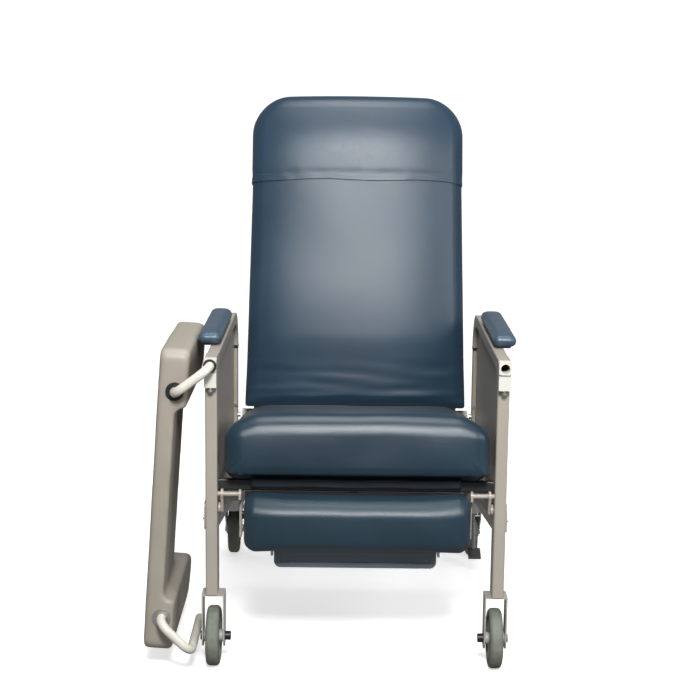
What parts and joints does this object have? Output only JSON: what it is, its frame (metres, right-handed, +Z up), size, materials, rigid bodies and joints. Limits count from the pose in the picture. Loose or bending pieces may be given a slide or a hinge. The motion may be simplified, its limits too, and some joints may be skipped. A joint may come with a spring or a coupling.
{
  "type": "patient recliner chair",
  "caption": "Wheeled patient recliner chair with a padded back and seat, lifting leg rest, folding foot flap, armrest pads, casters and a lift-off tray hung at one side.",
  "frame": {"origin": "on the floor, under the middle of the box around the whole chair and its hung tray", "axes": "+Z up, -Y the way a seated person faces, +X to the right as seen from in front of the chair"},
  "size_m": [0.7837, 0.919, 1.1899],
  "materials": {
    "vinyl": "soft satin, slate blue",
    "pad_vinyl": "soft satin, slate grey",
    "frame_paint": "satin almond enamel",
    "panel_board": "almond laminate",
    "hidden_board": "plain plywood",
    "tray_plastic": "moulded, light texture",
    "zinc": "zinc plated",
    "black_plastic": "satin",
    "white_plastic": "moulded",
    "hub_plastic": "moulded",
    "tyre_rubber": "non-marking grey"
  },
  "bodies": {
    "frame": {"front_posts": "frame_paint", "arm_rails": "frame_paint", "arm_bends": "frame_paint", "post_collars": "black_plastic", "rear_posts": "frame_paint", "lower_rails": "frame_paint", "rear_beam": "frame_paint", "gusset_plates": "frame_paint", "side_panels": "panel_board", "frame_bolts": "zinc", "seat_cross_tubes": "frame_paint", "seat_rails": "frame_paint", "seat_board": "hidden_board", "seat_apron": "vinyl", "seat_cushion": "vinyl", "armrest_plates": "black_plastic", "armrest_pad_left": "pad_vinyl", "armrest_pad_right": "pad_vinyl", "tray_sockets": "white_plastic", "latch_boxes": "white_plastic", "front_forks": "zinc", "front_axles": "zinc", "caster_plates": "zinc", "lock_cylinder": "black_plastic"},
    "latch_left": {"latch_pin_left": "zinc"},
    "front_wheel_left": {"front_tyre_left": "tyre_rubber", "front_hub_left": "hub_plastic"},
    "caster_left": {"caster_fork_left": "zinc"},
    "rear_wheel_left": {"rear_tyre_left": "tyre_rubber", "rear_hub_left": "hub_plastic"},
    "latch_right": {"latch_pin_right": "zinc"},
    "front_wheel_right": {"front_tyre_right": "tyre_rubber", "front_hub_right": "hub_plastic"},
    "caster_right": {"caster_fork_right": "zinc"},
    "rear_wheel_right": {"rear_tyre_right": "tyre_rubber", "rear_hub_right": "hub_plastic"},
    "brake_pedal": {"brake_pedal_right": "black_plastic"},
    "back": {"back_cushion": "vinyl", "headrest_cover": "vinyl", "back_board": "hidden_board", "back_uprights": "frame_paint", "back_cross_tube": "frame_paint", "back_brackets": "zinc", "pivot_bolts": "zinc", "push_bar": "frame_paint", "push_grips": "black_plastic"},
    "legrest": {"footrest_pad": "vinyl", "footrest_board": "hidden_board", "legrest_arms": "frame_paint", "footrest_cross_tube": "frame_paint", "flap_brackets": "zinc"},
    "foot_flap": {"foot_flap": "tray_plastic"},
    "recline_link": {"recline_links": "zinc"},
    "lock_rod": {"lock_rod": "zinc"},
    "tray_carrier": {"tray_washer": "black_plastic"},
    "tray": {"tray_board": "tray_plastic", "tray_tubes": "frame_paint", "tray_flanges": "zinc"}
  },
  "joints": [
    {"name": "back_recline", "type": "hinge", "parent": "frame", "child": "back", "pos_m": [0.0527, 0.233, 0.405], "axis": [-1, 0, 0], "range_deg": [0, 40]},
    {"name": "legrest_lift", "type": "hinge", "parent": "frame", "child": "legrest", "pos_m": [0.0527, -0.381, 0.38], "axis": [-1, 0, 0], "range_deg": [0, 75]},
    {"name": "link_swing", "type": "hinge", "parent": "back", "child": "recline_link", "pos_m": [0.0527, 0.21734, 0.33718], "axis": [-1, 0, 0], "range_deg": [-42, 0.5]},
    {"name": "lock_slide", "type": "slide", "parent": "frame", "child": "lock_rod", "axis": [0, 0, -1], "range_m": [0, 0.0552]},
    {"name": "flap_fold", "type": "hinge", "parent": "legrest", "child": "foot_flap", "pos_m": [0.0527, -0.347, 0.25], "axis": [-1, 0, 0], "range_deg": [0, 70]},
    {"name": "latch_pull_left", "type": "slide", "parent": "frame", "child": "latch_left", "axis": [0, 0, -1], "range_m": [0, 0.008], "stiffness_N_per_m": 200, "springref_m": -0.004},
    {"name": "front_spin_left", "type": "hinge", "parent": "frame", "child": "front_wheel_left", "pos_m": [-0.2463, -0.366, 0.0635], "axis": [1, 0, 0], "continuous": true},
    {"name": "caster_swivel_left", "type": "hinge", "parent": "frame", "child": "caster_left", "pos_m": [-0.2563, 0.342, 0.16], "axis": [0, 0, 1], "continuous": true},
    {"name": "rear_spin_left", "type": "hinge", "parent": "caster_left", "child": "rear_wheel_left", "pos_m": [-0.2563, 0.388, 0.0635], "axis": [1, 0, 0], "continuous": true},
    {"name": "latch_pull_right", "type": "slide", "parent": "frame", "child": "latch_right", "axis": [0, 0, -1], "range_m": [0, 0.008], "stiffness_N_per_m": 200, "springref_m": -0.004},
    {"name": "front_spin_right", "type": "hinge", "parent": "frame", "child": "front_wheel_right", "pos_m": [0.3517, -0.366, 0.0635], "axis": [1, 0, 0], "continuous": true},
    {"name": "caster_swivel_right", "type": "hinge", "parent": "frame", "child": "caster_right", "pos_m": [0.3617, 0.342, 0.16], "axis": [0, 0, 1], "continuous": true},
    {"name": "rear_spin_right", "type": "hinge", "parent": "caster_right", "child": "rear_wheel_right", "pos_m": [0.3617, 0.388, 0.0635], "axis": [1, 0, 0], "continuous": true},
    {"name": "brake_press", "type": "hinge", "parent": "caster_right", "child": "brake_pedal", "pos_m": [0.3617, 0.326, 0.122], "axis": [1, 0, 0], "range_deg": [0, 12]},
    {"name": "tray_slide", "type": "slide", "parent": "frame", "child": "tray_carrier", "axis": [0, -1, 0], "range_m": [0, 0.175]},
    {"name": "tray_swing", "type": "hinge", "parent": "tray_carrier", "child": "tray", "pos_m": [-0.2488, -0.416, 0.659], "axis": [0, 1, 0], "range_deg": [0, 2.5]}
  ],
  "couplings": [
    {"joint": "legrest_lift", "follows": "back_recline", "ratio": 1.875},
    {"joint": "link_swing", "follows": "back_recline", "ratio": -1.034},
    {"joint": "lock_slide", "follows": "back_recline", "m_per_rad": 0.07839}
  ]
}
